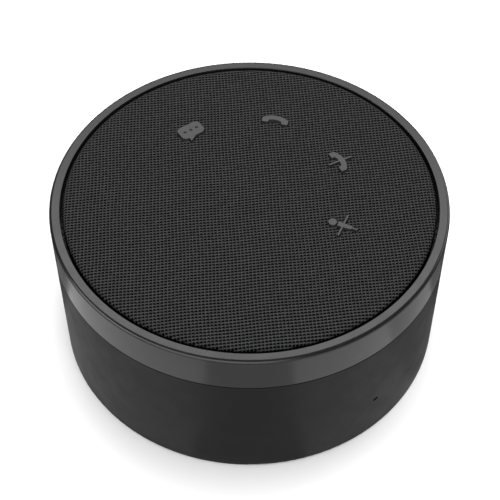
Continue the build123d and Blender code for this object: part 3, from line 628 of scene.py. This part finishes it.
def tidy_cloth(fabric):
    """Drop crushed faces, then turn the hem down the side and the cut edges into the cloth."""
    work = bmesh.new()
    work.from_mesh(fabric.data)
    bmesh.ops.dissolve_degenerate(work, edges=work.edges, dist=CRUSHED)
    loose = [v for v in work.verts if not v.link_faces]
    bmesh.ops.delete(work, geom=loose, context="VERTS")
    rim = [e for e in work.edges if e.is_boundary]
    limit = FABRIC_RADIUS - HEM_BAND
    hem = [e for e in rim if min(v.co.xy.length for v in e.verts) > limit]
    cuts = [e for e in rim if max(v.co.xy.length for v in e.verts) < limit]
    for vertex in extruded(work, hem):
        vertex.co.z = FABRIC_LOW.z + HEM_RISE
    for vertex in extruded(work, cuts):
        vertex.co.z -= CUT_DROP
    work.to_mesh(fabric.data)
    work.free()


# ---- the dial ------------------------------------------------------------------------------
ARC_STEPS = 6
TURN_STEPS = 288
EDGE_SUPPORT = 0.04 * MM
DIAL_WALL = 1.6 * MM
DIAL_LIP = 2.8 * MM
DIAL_ROUNDING = 1.0 * MM
LIP_ROUNDING = 0.25 * MM
SMALL_ROUNDING = 0.1 * MM


def rounded_profile(corners):
    """Closed outline with square corners (radius, height, rounding) turned into arcs."""
    outline = []
    for index, corner in enumerate(corners):
        spot = Vector(corner[:2])
        before = (Vector(corners[index - 1][:2]) - spot).normalized()
        after = (Vector(corners[(index + 1) % len(corners)][:2]) - spot).normalized()
        rounding = corner[2]
        centre = spot + (before + after) * rounding
        outline.append(spot + before * (rounding + EDGE_SUPPORT))
        for step in range(ARC_STEPS + 1):
            turn = math.pi / 2 * step / ARC_STEPS
            outline.append(centre - (after * math.cos(turn) + before * math.sin(turn)) * rounding)
        outline.append(spot + after * (rounding + EDGE_SUPPORT))
    return outline


def lathe(name, outline):
    """Solid of revolution about the speaker's axis."""
    count = len(outline)
    points = []
    for step in range(TURN_STEPS):
        turn = math.tau * step / TURN_STEPS
        points += [(p.x * math.cos(turn), p.x * math.sin(turn), p.y) for p in outline]
    faces = []
    for step in range(TURN_STEPS):
        here, there = step * count, (step + 1) % TURN_STEPS * count
        for i in range(count):
            j = (i + 1) % count
            faces.append((here + i, there + i, there + j, here + j))
    thing = new_object(name, points, faces)
    work = bmesh.new()
    work.from_mesh(thing.data)
    bmesh.ops.recalc_face_normals(work, faces=work.faces)
    work.to_mesh(thing.data)
    work.free()
    shade_smooth(thing)
    return thing


def make_dial(material):
    """The dial as one fine lathed ring, for an even highlight along its rounded edge."""
    low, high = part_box("volume_dial")
    lip_bore = min(v.co.xy.length for v in NODES["volume_dial"].data.vertices)
    wall_bore = high.x - DIAL_WALL
    lip_bottom = high.z - DIAL_LIP
    corners = (
        (high.x, low.z, SMALL_ROUNDING),
        (high.x, high.z, DIAL_ROUNDING),
        (lip_bore, high.z, LIP_ROUNDING),
        (lip_bore, lip_bottom, SMALL_ROUNDING),
        (wall_bore, lip_bottom, SMALL_ROUNDING),
        (wall_bore, low.z, SMALL_ROUNDING),
    )
    dial = lathe("dial_ring", rounded_profile(corners))
    dial.data.materials.append(material)
    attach(dial, "dial")
    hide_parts("volume_dial")


# ---- CAD nodes that stay: finishes and softened edges ----------------------------------------
KEY_EDGE = 0.12 * MM
KEY_EDGE_STEPS = 3
KEY_WELD = 0.001 * MM
SHARP_ANGLE = 40


def finish_node(node, material):
    """Give a CAD node its material."""
    mesh = NODES[node].data
    mesh.materials.clear()
    mesh.materials.append(material)


def soften(node, width):
    """Round a CAD node's sharp edges."""
    thing = NODES[node]
    weld = thing.modifiers.new("weld", "WELD")
    weld.merge_threshold = KEY_WELD
    bevel = thing.modifiers.new("soft_edges", "BEVEL")
    bevel.width = width
    bevel.segments = KEY_EDGE_STEPS
    bevel.limit_method = "ANGLE"
    bevel.angle_limit = math.radians(SHARP_ANGLE)
    bevel.harden_normals = True


def finish_all(finishes):
    """Finish every CAD node by its slot in the record and soften the icon keys."""
    for part in frame["record"]["subparts"]:
        finish_node(part["node"], finishes[part["material_slot"]])
    for node in KEY_NODES:
        soften(node, KEY_EDGE)


make_camera()
make_studio()
finishes = make_finishes()
make_fabric(finishes["knit_fabric"])
make_dial(finishes["dial_plastic"])
finish_all(finishes)
